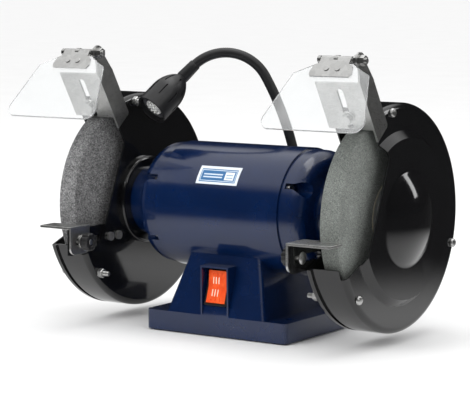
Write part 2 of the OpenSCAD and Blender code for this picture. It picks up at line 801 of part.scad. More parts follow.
// A carriage bolt through the arm and the flange, its head on the wheel's side
head_dome_r = 11;
head_dome_high = 2.4;
bolt_head_r = 6;
module rest_bolt(head_x, flange_x, drop) {
    length = head_x - flange_x + rest_t + washer_t + knob_w;
    translate([head_x + seat_gap, -rest_bolt_y, arm_mid(drop)]) rotate([0, 90, 0]) {
        translate([0, 0, -length]) cylinder(r = m6_r, h = length + eps());
        intersection() {
            translate([0, 0, head_dome_high - head_dome_r]) sphere(head_dome_r);
            cylinder(r = bolt_head_r, h = head_dome_high + 1);
        }
    }
    translate([flange_x - rest_t - washer_t - seat_gap, -rest_bolt_y, arm_mid(drop)]) rotate([0, 90, 0])
        tube(6.5, m6_r + fixed, washer_t);
}
module rest_bolt_right() { color("silver") rest_bolt(arm_right_x, flange_right_x, rest_right_drop); }
module rest_bolt_left() {
    color("silver") mirror([1, 0, 0]) rest_bolt(-arm_left_x + arm_t, -flange_left_x, rest_left_drop);
}
module rest_knob(flange_x, drop) {
    translate([flange_x - rest_t - washer_t - 2 * seat_gap - passing - knob_w, -rest_bolt_y, arm_mid(drop)])
        rotate([0, 90, 0]) difference() {
            union() {
                cylinder(r = knob_r - 1.6, h = knob_w);
                for (i = [0 : 7]) rotate(i * 45) translate([knob_r - 2, 0, 0]) cylinder(r = 2, h = knob_w);
            }
            translate([0, 0, -1]) cylinder(r = m6_r + running, h = knob_w + 2);
        }
}
module rest_knob_right() { color([0.12, 0.12, 0.12]) rest_knob(flange_right_x, rest_right_drop); }
module rest_knob_left() {
    color([0.12, 0.12, 0.12]) mirror([1, 0, 0]) rest_knob(-flange_left_x, rest_left_drop);
}
module lamp_screw_places() {
    for (x = [-10, 10]) translate([lamp_x + x, shell_r, spindle_z]) rotate([90, 0, 0]) children();
}
module accessory_screws() {
    color("silver") {
        for (y = arm_screw_y) {
            translate([guard_in + guard_t + fixed, -y, arm_mid(rest_right_drop)]) rotate([0, 90, 0])
                screw(m5_r, arm_t + guard_t + 3, 4.4, 3);
            translate([-guard_in + fixed, -y, arm_mid(rest_left_drop)]) rotate([0, 90, 0])
                screw(m5_r, arm_t + guard_t + 3, 4.4, 3);
        }
        lamp_screw_places() translate([0, 0, -lamp_plate_t - 2 * seat_gap]) rotate([180, 0, 0])
            screw(m5_r, shell_t + lamp_plate_t, 4.4, 3);
    }
}

// ---- Eye shields: a bracket that slides along its guard, and a hinged clear shield ----
module flange_outline() {
    polygon([[panel_low - 13, panel_z + bracket_t], [panel_low - 10, -flange_deep + 5],
        [panel_low - 6, -flange_deep], [panel_high - 8, -flange_deep],
        [hinge_u - 4, -hinge_n - ear_r + 1], [hinge_u - 5.2, -hinge_n + 5.2],
        [panel_high, panel_z + bracket_t]]);
    translate([hinge_u, -hinge_n]) circle(ear_r);
    translate([panel_low - 6, -flange_deep + 4]) circle(4);
}
// A bracket whose flange lies just outside the guard face given
module shield_bracket(face) {
    on_radius(bracket_angle, face + bracket_step) difference() {
        union() {
            translate([-bracket_w, panel_low, panel_z]) cube([bracket_w, bracket_len, bracket_t]);
            translate([-bracket_t, 0, 0]) rotate([90, 0, 90]) linear_extrude(bracket_t) flange_outline();
        }
        translate([-bracket_w / 2, 0, panel_z - 1]) linear_extrude(bracket_t + 2)
            slot(clamp_slot[0], clamp_slot[1], slot_half);
        translate([-bracket_t - 1, hinge_u, -hinge_n]) rotate([0, 90, 0])
            cylinder(r = m5_r + fixed, h = bracket_t + 2);
    }
}
module shield_bracket_right() { color("gainsboro") shield_bracket(guard_out); }
module shield_bracket_left() { color("gainsboro") shield_bracket(-guard_in); }
module bracket_clamp_bolts() {
    color("silver") for (face = [guard_out, -guard_in])
        on_radius(bracket_angle, bracket_mid(face)) translate([0, clamp_u, 0]) {
            translate([0, 0, panel_z + bracket_t + passing]) {
                tube(7, m6_r, 1.2);
                translate([0, 0, 1.2]) cylinder(r = 5.4, h = 4, $fn = 6);
            }
            translate([0, 0, -8]) cylinder(r = m6_r, h = 10 + panel_z + bracket_t);
            translate([0, 0, -6.7]) nut(10, 5, m6_r - eps());
        }
}
module on_hinge(x) { translate([x, hinge_y, hinge_z]) children(); }
module shield_hinge_bolt(face) {
    mid = bracket_mid(face);
    on_hinge(mid) rotate([0, 90, 0]) {
        translate([0, 0, -barrel_len / 2 - 3]) cylinder(r = m5_r, h = bracket_w / 2 + barrel_len / 2 + 10);
        translate([0, 0, -barrel_len / 2 - 4.4]) cylinder(r = 3.6, h = 3);
        translate([0, 0, bracket_w / 2 - bracket_t - 4.2]) nut(9, 4, m5_r - eps());
        translate([0, 0, bracket_w / 2 + 0.2]) nut(9, 5, m5_r - eps());
    }
}
module shield_hinge_bolt_right() { color("silver") shield_hinge_bolt(guard_out); }
module shield_hinge_bolt_left() { color("silver") shield_hinge_bolt(-guard_in); }
// Local y down the shield from its hinge, local -z towards the front
module on_shield(face) {
    on_hinge(bracket_mid(face)) rotate([270 - shield_lean, 0, 0]) children();
}
rivets = [[-6, 12], [6, 12]];
leaf_side = [[16, 0], [16, 6], [21, 9], [23, 17], [21, 21]];
leaf_outline = concat(leaf_side,
    [for (i = [len(leaf_side) - 1 : -1 : 0]) [-leaf_side[i][0], leaf_side[i][1]]]);
module shield_leaf(face) {
    on_shield(face) {
        difference() {
            union() {
                translate([-barrel_len / 2, 0, 0]) rotate([0, 90, 0]) cylinder(r = barrel_r, h = barrel_len);
                translate([-2, 0, 0]) rotate([0, 90, 0]) cylinder(r = barrel_r + 0.7, h = 4);
                translate([0, 0, -barrel_r]) linear_extrude(leaf_t) polygon(leaf_outline);
            }
            translate([-30, 0, 0]) rotate([0, 90, 0]) cylinder(r = m5_r + running, h = 60);
        }
        for (p = rivets) translate([p[0], p[1], -barrel_r - 0.8]) {
            cylinder(r = 1.8, h = shield_t + leaf_t + 1.6);
            cylinder(r = 2.8, h = 0.9);
            translate([0, 0, shield_t + leaf_t + 0.85]) cylinder(r = 2.8, h = 0.9);
        }
    }
}
module shield_leaf_right() { color("gainsboro") shield_leaf(guard_out); }
module shield_leaf_left() { color("gainsboro") shield_leaf(-guard_in); }
module eye_shield(face) {
    low = shield_len - shield_round;
    on_shield(face) translate([0, 0, -barrel_r + leaf_t + fixed]) linear_extrude(shield_t) difference() {
        union() {
            polygon([[-shield_top_w / 2, 6.5], [shield_top_w / 2, 6.5], [shield_shoulder_w / 2, 17.5],
                [shield_w / 2, low - 2], [shield_w / 2, low], [shield_w / 2 - shield_round, shield_len],
                [-shield_w / 2 + shield_round, shield_len], [-shield_w / 2, low], [-shield_w / 2, low - 2],
                [-shield_shoulder_w / 2, 17.5]]);
            for (s = [-1, 1]) translate([s * (shield_w / 2 - shield_round), low]) circle(shield_round);
        }
        for (p = rivets) translate(p) circle(1.8 + fixed);
    }
}
module eye_shield_right() { color([0.85, 0.92, 0.95, 0.4]) eye_shield(guard_out); }
module eye_shield_left() { color([0.85, 0.92, 0.95, 0.4]) eye_shield(-guard_in); }

// ---- Lamp: local x along the gooseneck's lean, local y upwards ----
module in_lamp_plane() {
    translate([lamp_x, lamp_y, 0]) rotate([0, 0, lamp_turn]) rotate([90, 0, 0]) children();
}
// A bent round bar that starts at p and turns from heading t1 to t2 on a radius
module bend(p, t1, t2, turn_r, r) {
    translate(p + turn_r * [sin(t1), -cos(t1)]) rotate([0, 0, t2 + 90])
        rotate_extrude(angle = t1 - t2) translate([turn_r, 0]) circle(r);
}
bend_start = [0, lamp_start];
bend_1 = bend_end(bend_start, goose_bends[0][0], goose_bends[0][1], goose_bends[0][2]);
bend_2 = bend_end(bend_1, goose_bends[1][0], goose_bends[1][1], goose_bends[1][2]);
head_heading = goose_bends[1][1];
sleeve_len = 17;
sleeve_r = 6.4;
ferrule_top = lamp_start - goose_r * cos(goose_bends[0][0]) - seat_gap;
head_joint = bend_2 + (sleeve_len - 3) * [cos(head_heading), sin(head_heading)];
lamp_plate_w = 34;
lamp_plate_low = 114;
module lamp_bracket() {
    color("midnightblue") difference() {
        union() {
            translate([lamp_x - lamp_plate_w / 2, shell_r + seat_gap, lamp_plate_low])
                cube([lamp_plate_w, lamp_plate_t, lamp_shelf + lamp_plate_t - lamp_plate_low]);
            translate([lamp_x - lamp_plate_w / 2, shell_r + seat_gap, lamp_shelf])
                cube([lamp_plate_w, lamp_y - shell_r + 11, lamp_plate_t]);
        }
        translate([lamp_x, lamp_y, lamp_shelf - 1]) cylinder(r = 6 + running, h = 6);
        lamp_screw_places() cylinder(r = m5_r + seat_gap, h = 20, center = true);
    }
}
module lamp_ferrule() {
    color("silver") translate([lamp_x, lamp_y, 0]) {
        translate([0, 0, lamp_shelf - 5]) cylinder(r = 6, h = 12);
        translate([0, 0, lamp_shelf + lamp_plate_t + passing])
            cylinder(r1 = 9, r2 = 7, h = ferrule_top - lamp_shelf - lamp_plate_t - passing);
        translate([0, 0, lamp_shelf - 4.6]) cylinder(r = 8.5, h = 4.6 - passing, $fn = 6);
    }
}
module gooseneck_lower() {
    color([0.13, 0.13, 0.14]) in_lamp_plane() {
        bend(bend_start, goose_bends[0][0], goose_bends[0][1], goose_bends[0][2], goose_r);
        translate(bend_1) sphere(knuckle_r);
    }
}
module gooseneck_upper() {
    color([0.13, 0.13, 0.14]) in_lamp_plane() difference() {
        union() {
            bend(bend_1, goose_bends[1][0], goose_bends[1][1], goose_bends[1][2], goose_r);
            translate(bend_2) rotate([0, 0, head_heading]) rotate([0, 90, 0]) translate([0, 0, -2])
                cylinder(r1 = goose_r + 0.6, r2 = sleeve_r, h = sleeve_len - 3 - 2 * joint_gap);
            translate(head_joint) sphere(knuckle_r);
        }
        translate(bend_1) sphere(knuckle_r + joint_gap);
    }
}
// The head's axis leaves the lamp's plane a little, so that it looks forwards
head_yaw = 28;
module on_head() {
    in_lamp_plane() translate(head_joint) rotate([0, 0, head_heading]) rotate([0, head_yaw, 0])
        rotate([0, 90, 0]) children();
}
lens_z = lamp_len - 8;
nose_len = 30;
nose_arc = 36.3;
module lamp_head() {
    color([0.1, 0.1, 0.11]) on_head() difference() {
        rotate_extrude() difference() {
            union() {
                translate([0, nose_len]) square([lamp_d / 2, lamp_len - nose_len]);
                intersection() {
                    translate([lamp_d / 2 - nose_arc, nose_len]) circle(nose_arc);
                    translate([0, 2]) square([lamp_d / 2, nose_len]);
                }
            }
            translate([0, lens_z]) square([lamp_d / 2 - 1.6, lamp_len]);
        }
        sphere(knuckle_r + joint_gap);
        for (i = [0 : 7]) rotate(i * 45 + 22.5) translate([lamp_d / 2, 0, 33])
            cube([3, 1.6, 14], center = true);
        for (i = [0 : 7]) rotate(i * 45) translate([lamp_d / 2 - 3, 0, 16]) rotate([0, 22, 0])
            cube([4, 1.6, 14], center = true);
    }
}
module lamp_lens() {
    color("white") on_head() {
        translate([0, 0, lens_z + seat_gap]) cylinder(r = lamp_d / 2 - 1.6 - fixed, h = 4);
        for (ring = [0 : 2], i = [0 : max(0, 6 * ring - 1)]) rotate(i * 60 / max(1, ring))
            translate([ring * 3.8, 0, lens_z + 3]) cylinder(r = 1.5, h = 2.6);
    }
}

base_casting();
bottom_cover();
bottom_cover_screws();
rubber_feet();
motor_shell();
end_bell_left();
end_bell_right();
through_bolts();
through_bolt_nuts();
stator_core();
stator_windings();
bearing_outer_rings();
bearing_balls();
run_capacitor();
terminal_block();
switch_frame();
switch_rocker();
cord_gland();
name_plate();
guard_left_drum();
guard_left_lid();
guard_right_drum();
guard_right_lid();
guard_long_screws();
guard_long_nuts();
guard_mount_screws();
shaft();
rotor_core();
rotor_end_rings();
bearing_inner_rings();
wheel_left();
wheel_right();
inner_flanges();
outer_flanges();
blotters();
spindle_nuts();
rest_arm_left();
rest_arm_right();
accessory_screws();
tool_rest_left();
tool_rest_right();
rest_bolt_left();
rest_bolt_right();
rest_knob_left();
rest_knob_right();
bracket_clamp_bolts();
shield_bracket_left();
shield_bracket_right();
shield_hinge_bolt_left();
shield_hinge_bolt_right();
shield_leaf_left();
shield_leaf_right();
eye_shield_left();
eye_shield_right();
lamp_bracket();
lamp_ferrule();
gooseneck_lower();
gooseneck_upper();
lamp_head();
lamp_lens();
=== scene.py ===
"""Finishes and fine shapes for a bench grinder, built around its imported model."""
import json
import math

import bmesh
import bpy
import numpy as np
from bpy.props import FloatProperty, FloatVectorProperty, IntProperty, PointerProperty
from mathutils import Matrix, Vector


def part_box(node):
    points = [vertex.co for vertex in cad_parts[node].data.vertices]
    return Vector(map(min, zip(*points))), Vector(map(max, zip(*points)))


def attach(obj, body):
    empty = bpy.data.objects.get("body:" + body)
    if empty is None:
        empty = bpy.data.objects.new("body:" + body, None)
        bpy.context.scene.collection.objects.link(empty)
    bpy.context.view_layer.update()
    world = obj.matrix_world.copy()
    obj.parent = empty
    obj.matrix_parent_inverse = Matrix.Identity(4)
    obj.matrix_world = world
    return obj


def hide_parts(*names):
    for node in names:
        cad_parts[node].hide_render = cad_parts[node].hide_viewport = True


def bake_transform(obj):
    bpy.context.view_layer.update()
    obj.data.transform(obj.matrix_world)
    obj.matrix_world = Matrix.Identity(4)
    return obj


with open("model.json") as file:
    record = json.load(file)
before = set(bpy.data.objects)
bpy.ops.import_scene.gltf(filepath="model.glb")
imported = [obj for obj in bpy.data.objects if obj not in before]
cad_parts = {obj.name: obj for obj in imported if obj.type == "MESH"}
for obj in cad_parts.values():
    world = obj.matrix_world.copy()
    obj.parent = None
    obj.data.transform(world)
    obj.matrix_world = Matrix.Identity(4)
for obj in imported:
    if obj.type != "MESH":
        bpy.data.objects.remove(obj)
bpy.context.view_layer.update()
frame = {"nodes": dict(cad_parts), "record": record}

MM = 0.001

bl_info = {
    "name": "Bench grinder",
    "version": (1, 0, 0),
    "blender": (4, 5, 0),
    "location": "View3D > Sidebar > Grinder",
    "description": "Finishes and fine shapes of a double-ended bench grinder",
    "category": "Add Mesh",
}

RECORD = frame["record"]
BODIES = RECORD["behaviour"]["bodies"]
BODY_OF = {node: body for body, nodes in BODIES.items() for node in nodes}
SLOT_OF = {part["node"]: part["material_slot"] for part in RECORD["subparts"]}
JOINTS = {joint["name"]: joint for joint in RECORD["behaviour"]["joints"]}
SPINDLE = Vector(JOINTS["spindle_spin"]["pos_m"])


# ---- Sizes and colours ----
class GrinderLooks(bpy.types.PropertyGroup):
    """Sizes and colours of the finishes."""
    paint: FloatVectorProperty(
        name="Paint", description="Colour of the motor and base", subtype="COLOR", size=4,
        min=0, max=1, default=(0.0012, 0.0105, 0.050, 1))
    guard_paint: FloatVectorProperty(
        name="Guard paint", description="Colour of the wheel guards", subtype="COLOR", size=4,
        min=0, max=1, default=(0.0045, 0.0045, 0.005, 1))
    coarse_grit: FloatProperty(
        name="Coarse grit", description="Size of the grains of the left wheel", unit="LENGTH",
        default=0.0008, min=0.0002, max=0.003)
    fine_grit: FloatProperty(
        name="Fine grit", description="Size of the grains of the right wheel", unit="LENGTH",
        default=0.0006, min=0.0002, max=0.003)
    coil_pitch: FloatProperty(
        name="Coil pitch", description="Spacing of the gooseneck's ribs", unit="LENGTH",
        default=0.0019, min=0.001, max=0.005)
    coil_depth: FloatProperty(
        name="Coil depth", description="Depth of the grooves between the ribs", unit="LENGTH",
        default=0.00022, min=0, max=0.001)
    knob_flutes: IntProperty(
        name="Knob flutes", description="Number of flutes round each knob", default=8, min=5, max=16)
    thread_pitch: FloatProperty(
        name="Thread pitch", description="Pitch of the long screws' threads", unit="LENGTH",
        default=0.0009, min=0.0005, max=0.002)
    table_radius: FloatProperty(
        name="Table", description="Radius of the floor that shows in the paint", unit="LENGTH", default=0.5)
    ceiling: FloatProperty(
        name="Ceiling", description="Brightness of the overhead screen in the paint", default=1.0)
    sky: FloatProperty(
        name="Sky", description="Brightness of the light from all round", default=1.06)
    camera_turn: FloatProperty(
        name="Camera turn", description="Angle of the camera round the grinder", unit="ROTATION",
        default=math.radians(34.9))
    camera_rise: FloatProperty(
        name="Camera rise", description="Angle of the camera above level", unit="ROTATION",
        default=math.radians(7.1))
    camera_roll: FloatProperty(
        name="Camera roll", description="Roll of the camera", unit="ROTATION",
        default=math.radians(-0.4))
    camera_distance: FloatProperty(
        name="Camera distance", description="Distance of the camera", unit="LENGTH", default=2.06)
    camera_lens: FloatProperty(
        name="Camera lens", description="Focal length in millimetres", default=157.6)


def looks():
    """Returns the settings on the scene."""
    return bpy.context.scene.grinder_looks


# ---- Shader helpers ----
def node(tree, kind, inputs=None, **settings):
    """Adds a shader node; an input may be a value or another node's socket."""
    made = tree.nodes.new(kind)
    for key, value in settings.items():
        setattr(made, key, value)
    for key, value in (inputs or {}).items():
        if isinstance(value, bpy.types.NodeSocket):
            tree.links.new(value, made.inputs[key])
        else:
            made.inputs[key].default_value = value
    return made


def ramp(tree, factor, *stops):
    """Adds a colour ramp from (place, grey or colour) stops and returns its colour socket."""
    made = node(tree, "ShaderNodeValToRGB", {"Fac": factor})
    elements = made.color_ramp.elements
    while len(elements) < len(stops):
        elements.new(0.5)
    for element, (place, value) in zip(elements, stops):
        element.position = place
        element.color = (value, value, value, 1) if isinstance(value, float) else value
    return made.outputs["Color"]


def mirrored(tree):
    """One for a ray that left a mirror-like surface, zero for one that went through a clear one."""
    path = tree.nodes.new("ShaderNodeLightPath")
    ends = {0: path.outputs["Is Glossy Ray"], 1: path.outputs["Is Transmission Ray"]}
    return node(tree, "ShaderNodeMath", ends, operation="SUBTRACT", use_clamp=True).outputs[0]


def tinted(colour, factor):
    """Returns the colour made lighter or darker by a factor."""
    return tuple(min(1.0, channel * factor) for channel in colour[:3]) + (1,)


def start_material(name):
    """Returns a new material, its tree, its main shader and its object coordinates."""
    made = bpy.data.materials.new(name)
    made.use_nodes = True
    tree = made.node_tree
    shader = tree.nodes["Principled BSDF"]
    place = tree.nodes.new("ShaderNodeTexCoord").outputs["Object"]
    return made, tree, shader, place


def noise(tree, place, scale, detail=2.0, roughness=0.5):
    """Adds a noise texture and returns its grey socket."""
    return node(tree, "ShaderNodeTexNoise", {
        "Vector": place, "Scale": scale, "Detail": detail, "Roughness": roughness}).outputs["Fac"]


def stretched(tree, place, scale):
    """Returns coordinates stretched by three factors."""
    return node(tree, "ShaderNodeMapping", {"Vector": place, "Scale": scale}).outputs["Vector"]


def bumped(tree, shader, height, strength, distance, under=None):
    """Joins a height to the shader's normal, on top of another bump if one is given."""
    inputs = {"Height": height, "Strength": strength, "Distance": distance}
    if under is not None:
        inputs["Normal"] = under
    made = node(tree, "ShaderNodeBump", inputs)
    tree.links.new(made.outputs["Normal"], shader.inputs["Normal"])
    return made.outputs["Normal"]


def set_values(shader, **values):
    """Sets plain values on the shader's own sockets."""
    for key, value in values.items():
        shader.inputs[key.replace("_", " ")].default_value = value


# ---- Materials ----
def gloss_paint(name, colour, peel=0.03, smooth=0.16):
    """Sprayed gloss paint: orange peel, a little dust and a hard clear coat."""
    made, tree, shader, place = start_material(name)
    cloud = noise(tree, place, 38.0, 4.0)
    tree.links.new(ramp(tree, cloud, (0.3, tinted(colour, 0.86)), (0.72, tinted(colour, 1.12))),
                   shader.inputs["Base Color"])
    dust = noise(tree, place, 210.0, 3.0)
    tree.links.new(ramp(tree, dust, (0.35, smooth), (0.75, smooth + 0.07)), shader.inputs["Roughness"])
    bumped(tree, shader, noise(tree, place, 420.0, 1.0), peel, 0.0003)
    set_values(shader, Coat_Weight=0.4, Coat_Roughness=0.06, Coat_IOR=1.5, IOR=1.5)
    return made


def cast_paint(name, colour):
    """Gloss paint over a sand casting: the grain of the mould shows through."""
    made = gloss_paint(name, colour, 0.02, 0.2)
    tree = made.node_tree
    shader = tree.nodes["Principled BSDF"]
    place = tree.nodes["Texture Coordinate"].outputs["Object"]
    peel = shader.inputs["Normal"].links[0].from_socket
    bumped(tree, shader, noise(tree, place, 240.0, 2.0, 0.5), 0.03, 0.0003, peel)
    return made


def zinc_plate(name, colour, grain=(1.0, 1.0, 1.0)):
    """Zinc-plated sheet: faint crystals, rolling marks and small scratches."""
    made, tree, shader, place = start_material(name)
    spangle = node(tree, "ShaderNodeTexVoronoi", {"Vector": place, "Scale": 190.0})
    shade = ramp(tree, spangle.outputs["Color"], (0.1, tinted(colour, 0.9)), (0.9, tinted(colour, 1.08)))
    tree.links.new(shade, shader.inputs["Base Color"])
    marks = noise(tree, stretched(tree, place, grain), 900.0, 3.0, 0.6)
    tree.links.new(ramp(tree, marks, (0.3, 0.24), (0.7, 0.42)), shader.inputs["Roughness"])
    bumped(tree, shader, marks, 0.10, 0.0002)
    set_values(shader, Metallic=1.0, IOR=1.6)
    return made


def machined_steel(name, colour):
    """Turned steel: fine rings about the spindle."""
    made, tree, shader, place = start_material(name)
    rings = node(tree, "ShaderNodeTexWave", {
        "Vector": place, "Scale": 420.0, "Distortion": 1.2, "Detail": 2.0}, bands_direction="X")
    tree.links.new(ramp(tree, rings.outputs["Fac"], (0.2, tinted(colour, 0.88)), (0.8, tinted(colour, 1.05))),
                   shader.inputs["Base Color"])
    bumped(tree, shader, rings.outputs["Fac"], 0.12, 0.0001)
    set_values(shader, Metallic=1.0, Roughness=0.28)
    return made


def abrasive(name, dark, light, grain, sparkle):
    """Bonded grit: packed grains of several greys, pores between them, and bright crystals."""
    made, tree, shader, place = start_material(name)
    grains = node(tree, "ShaderNodeTexVoronoi", {"Vector": place, "Scale": 1.0 / grain})
    pores = noise(tree, place, 0.8 / grain, 3.0, 0.7)
    patch = noise(tree, place, 60.0, 2.0)
    shade = ramp(tree, grains.outputs["Color"], (0.15, dark), (0.6, light), (0.93, tinted(light, sparkle)))
    worn = ramp(tree, patch, (0.3, 0.82), (0.7, 1.0))
    mixed = node(tree, "ShaderNodeMix", {6: shade, 7: worn, 0: 1.0}, data_type="RGBA", blend_type="MULTIPLY")
    tree.links.new(mixed.outputs[2], shader.inputs["Base Color"])
    under = bumped(tree, shader, grains.outputs["Distance"], 0.75, grain * 0.7)
    bumped(tree, shader, pores, 0.6, grain * 0.6, under)
    set_values(shader, Roughness=0.88, IOR=1.5)
    return made


def moulded_plastic(name, colour, roughness, texture=0.12):
    """Moulded plastic with a fine sparked texture."""
    made, tree, shader, place = start_material(name)
    cloud = noise(tree, place, 90.0, 2.0)
    tree.links.new(ramp(tree, cloud, (0.3, tinted(colour, 0.85)), (0.7, tinted(colour, 1.15))),
                   shader.inputs["Base Color"])
    spark = noise(tree, place, 1500.0, 2.0, 0.7)
    tree.links.new(ramp(tree, spark, (0.3, roughness - 0.05), (0.7, roughness + 0.08)),
                   shader.inputs["Roughness"])
    bumped(tree, shader, spark, texture, 0.0002)
    set_values(shader, IOR=1.5)
    return made


def within(tree, socket, low, high):
    """One between two values of a socket, zero outside them."""
    above = node(tree, "ShaderNodeMath", {0: socket, 1: low}, operation="GREATER_THAN").outputs[0]
    below = node(tree, "ShaderNodeMath", {0: socket, 1: high}, operation="LESS_THAN").outputs[0]
    return node(tree, "ShaderNodeMath", {0: above, 1: below}, operation="MULTIPLY").outputs[0]


def over(tree, mask_1, mask_2, under, colour):
    """Lays a colour over what is under it where both masks are one."""
    inside = node(tree, "ShaderNodeMath", {0: mask_1, 1: mask_2}, operation="MULTIPLY").outputs[0]
    return node(tree, "ShaderNodeMix", {0: inside, 6: under, 7: colour}, data_type="RGBA").outputs[2]


def lit_rocker(name, low, high):
    """Orange-red see-through plastic of an illuminated rocker, with two rows of pale bars painted as
    highlights on its ribs.
    """
    made, tree, shader, place = start_material(name)
    depth = noise(tree, place, 160.0, 2.0)
    colour = ramp(tree, depth, (0.3, (0.80, 0.075, 0.012, 1)), (0.7, (0.92, 0.125, 0.026, 1)))
    split = node(tree, "ShaderNodeSeparateXYZ", {"Vector": place})
    middle, step, half_highlight_bar = (low[0] + high[0]) / 2 - 2.0 * MM, 3.2 * MM, 0.55 * MM
    height = high[2] - low[2]
    # Painted highlights: two rows of three pale bars laid in the colour where light catches the rocker's
    # ribs.
    for top, bottom in ((0.80, 0.60), (0.44, 0.24)):
        row = within(tree, split.outputs["Z"], low[2] + bottom * height, low[2] + top * height)
        for i in (-1, 0, 1):
            highlight_bar_x = middle + i * step
            rib = within(tree, split.outputs["X"], highlight_bar_x - half_highlight_bar, highlight_bar_x + half_highlight_bar)
            colour = over(tree, row, rib, colour, (0.95, 0.72, 0.55, 1))
    tree.links.new(colour, shader.inputs["Base Color"])
    bumped(tree, shader, noise(tree, place, 900.0, 1.0), 0.04, 0.0002)
    set_values(shader, Roughness=0.2, Coat_Weight=0.5, Coat_Roughness=0.08, Subsurface_Weight=0.25,
               Subsurface_Scale=0.004, IOR=1.49)
    return made


def clear_sheet(name):
    """Clear polycarbonate sheet with the faintest tint and hairline scratches."""
    made, tree, shader, place = start_material(name)
    hairlines = noise(tree, stretched(tree, place, (1.0, 14.0, 14.0)), 260.0, 4.0, 0.7)
    tree.links.new(ramp(tree, hairlines, (0.45, 0.015), (0.85, 0.09)), shader.inputs["Roughness"])
    tree.links.new(ramp(tree, hairlines, (0.2, (0.955, 0.965, 0.965, 1)), (0.8, (0.92, 0.935, 0.94, 1))),
                   shader.inputs["Base Color"])
    cloud = noise(tree, place, 22.0, 2.0)
    tree.links.new(ramp(tree, cloud, (0.3, 0.80), (0.7, 0.88)), shader.inputs["Transmission Weight"])
    set_values(shader, IOR=1.45)
    return made


def printed_label(name, low, high):
    """A foil label: a pale frame round a blue field, with plain bars in place of print."""
    made, tree, shader, place = start_material(name)
    split = node(tree, "ShaderNodeSeparateXYZ", {"Vector": place})

    def share(axis, first, last):
        """One inside a band along an axis, given as shares of the label's size."""
        size = high[axis] - low[axis]
        return within(tree, split.outputs[axis], low[axis] + first * size, low[axis] + last * size)

    def patch(left, right, bottom, top, under, colour):
        """Lays a rectangle of one colour over what is under it."""
        return over(tree, share(0, left, right), share(2, bottom, top), under, colour)

    grain = noise(tree, place, 700.0, 2.0)
    colour = ramp(tree, grain, (0.3, (0.66, 0.72, 0.78, 1)), (0.7, (0.74, 0.79, 0.84, 1)))
    colour = patch(0.06, 0.94, 0.14, 0.86, colour, (0.014, 0.11, 0.28, 1))
    colour = patch(0.075, 0.925, 0.19, 0.81, colour, (0.56, 0.66, 0.76, 1))
    colour = patch(0.09, 0.91, 0.23, 0.77, colour, (0.014, 0.12, 0.30, 1))
    colour = patch(0.66, 0.88, 0.28, 0.72, colour, (0.72, 0.76, 0.80, 1))
    for row in range(2):
        bottom = 0.38 + 0.15 * row
        colour = patch(0.14, 0.60, bottom, bottom + 0.07, colour, (0.60, 0.68, 0.78, 1))
        colour = patch(0.69, 0.85, bottom, bottom + 0.05, colour, (0.20, 0.34, 0.50, 1))
    tree.links.new(colour, shader.inputs["Base Color"])
    bumped(tree, shader, grain, 0.04, 0.0001)
    set_values(shader, Roughness=0.3, Coat_Weight=0.4, Coat_Roughness=0.1)
    return made


def led_board(name):
    """White diode plastic under a glossy coat, with painted highlight and shade: cells pale in the middle and
    grey at their borders.
    """
    made, tree, shader, place = start_material(name)
    cells = node(tree, "ShaderNodeTexVoronoi", {"Vector": place, "Scale": 420.0})
    # Painted highlight and shade: each cell pale in its middle and grey at its border, standing in for light
    # on the diode domes.
    bright, shaded = (0.95, 0.95, 0.9, 1), (0.5, 0.5, 0.5, 1)
    tree.links.new(ramp(tree, cells.outputs["Distance"], (0.1, bright), (0.6, shaded)),
                   shader.inputs["Base Color"])
    bumped(tree, shader, cells.outputs["Distance"], 0.5, 0.0004)
    set_values(shader, Roughness=0.15, Coat_Weight=0.6, Coat_Roughness=0.05)
    return made


def paper_board(name, colour):
    """Fibrous blotting card."""
    made, tree, shader, place = start_material(name)
    fibre = noise(tree, stretched(tree, place, (1.0, 6.0, 1.0)), 500.0, 4.0, 0.7)
    tree.links.new(ramp(tree, fibre, (0.3, tinted(colour, 0.8)), (0.7, tinted(colour, 1.1))),
                   shader.inputs["Base Color"])
    bumped(tree, shader, fibre, 0.2, 0.0002)
    set_values(shader, Roughness=0.85)
    return made


def make_materials():
    """Makes one finish for each of the record's slots and returns them by slot."""
    settings = looks()
    plate_low, plate_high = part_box("name_plate")
    return {
        "navy_paint": gloss_paint("navy gloss paint", settings.paint),
        "cast_paint": cast_paint("navy paint on castings", settings.paint),
        "black_paint": gloss_paint("black gloss paint", settings.guard_paint, 0.012, 0.07),
        "zinc": zinc_plate("zinc plate", (0.56, 0.56, 0.55, 1), (0.3, 1.0, 3.0)),
        "bright_steel": machined_steel("turned steel", (0.52, 0.52, 0.52, 1)),
        "lamination": zinc_plate("stacked laminations", (0.16, 0.16, 0.17, 1), (14.0, 0.4, 0.4)),
        "copper": moulded_plastic("varnished copper", (0.42, 0.14, 0.05, 1), 0.3, 0.5),
        "aluminium": zinc_plate("cast aluminium", (0.7, 0.7, 0.7, 1)),
        "dark_abrasive": abrasive("coarse grey abrasive", (0.045, 0.045, 0.046, 1),
                                  (0.22, 0.22, 0.222, 1), settings.coarse_grit, 1.9),
        "grey_abrasive": abrasive("fine green-grey abrasive", (0.10, 0.108, 0.10, 1),
                                  (0.20, 0.215, 0.20, 1), settings.fine_grit, 1.5),
        "card": paper_board("blotting card", (0.5, 0.45, 0.33, 1)),
        "black_plastic": moulded_plastic("black plastic", (0.012, 0.012, 0.013, 1), 0.36),
        "pale_plastic": moulded_plastic("pale plastic", (0.6, 0.6, 0.56, 1), 0.4),
        "orange_plastic": lit_rocker("lit orange plastic", *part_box("switch_rocker")),
        "rubber": moulded_plastic("black rubber", (0.012, 0.012, 0.012, 1), 0.7, 0.3),
        "clear_plastic": clear_sheet("clear polycarbonate"),
        "label": printed_label("printed label", plate_low, plate_high),
        "led_white": led_board("clear diode domes"),
        "reflector": moulded_plastic("dark reflector", (0.05, 0.05, 0.055, 1), 0.25),
    }


MATERIALS = {}
CASTINGS = ("base_casting", "end_bell_left", "end_bell_right")


